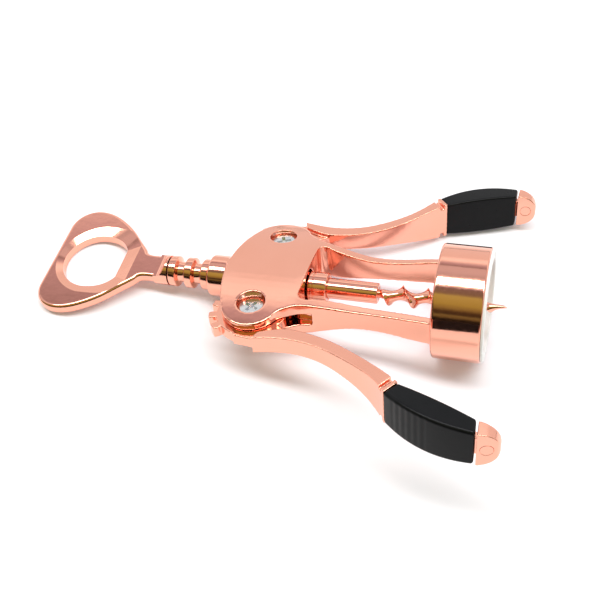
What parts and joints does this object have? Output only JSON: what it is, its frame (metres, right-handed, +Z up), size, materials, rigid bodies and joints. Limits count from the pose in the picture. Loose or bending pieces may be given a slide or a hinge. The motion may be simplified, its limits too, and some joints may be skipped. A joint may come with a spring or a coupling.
{
  "type": "lever corkscrew",
  "caption": "Wing corkscrew: two geared levers raise a ring-racked spindle with a worm through a bell, with a cap-lifter handle and black grips.",
  "frame": {"origin": "on the table under the middle of the object, lying at rest on its bell, its opener and the far grip", "axes": "+X towards the bell and the tip of the worm, +Y towards the far lever, +Z up"},
  "size_m": [0.1754, 0.1294, 0.0422],
  "materials": {
    "rose_gold": "polished rose gold plating",
    "rose_gold_worm": "polished rose gold plating",
    "screw_steel": "bright zinc-plated steel",
    "black_grip": "semi-gloss black plastic",
    "white_liner": "smooth white plastic"
  },
  "bodies": {
    "frame": {"frame_body": "rose_gold", "bell_liner": "white_liner", "pivot_screw_far": "screw_steel", "pivot_screw_near": "screw_steel", "pivot_sleeve_far": "screw_steel", "pivot_sleeve_near": "screw_steel"},
    "lever_far": {"lever_far": "rose_gold", "grip_far": "black_grip", "end_cap_far": "rose_gold", "cap_pin_far": "rose_gold"},
    "lever_near": {"lever_near": "rose_gold", "grip_near": "black_grip", "end_cap_near": "rose_gold", "cap_pin_near": "rose_gold"},
    "carriage": {"stop_collar": "rose_gold"},
    "spindle": {"opener_handle": "rose_gold", "rack_shaft": "rose_gold", "worm": "rose_gold_worm", "handle_pin": "screw_steel", "worm_pin": "screw_steel"}
  },
  "joints": [
    {"name": "lever_far_hinge", "type": "hinge", "parent": "frame", "child": "lever_far", "pos_m": [-0.0014, 0.01904, 0.00813], "axis": [-0.1171, 0.2147, 0.9696], "range_deg": [-26, 62]},
    {"name": "lever_near_hinge", "type": "hinge", "parent": "frame", "child": "lever_near", "pos_m": [-0.00241, -0.01904, 0.01644], "axis": [0.1171, -0.2147, -0.9696], "range_deg": [-26, 62]},
    {"name": "spindle_slide", "type": "slide", "parent": "frame", "child": "carriage", "axis": [0.9928, 0, 0.1199], "range_m": [-0.00652, 0.01554]},
    {"name": "spindle_turn", "type": "hinge", "parent": "carriage", "child": "spindle", "pos_m": [-0.0019, 0, 0.01229], "axis": [0.9928, 0, 0.1199], "continuous": true}
  ],
  "couplings": [
    {"joint": "lever_near_hinge", "follows": "lever_far_hinge", "ratio": 1},
    {"joint": "spindle_slide", "follows": "lever_far_hinge", "m_per_rad": 0.01435}
  ]
}
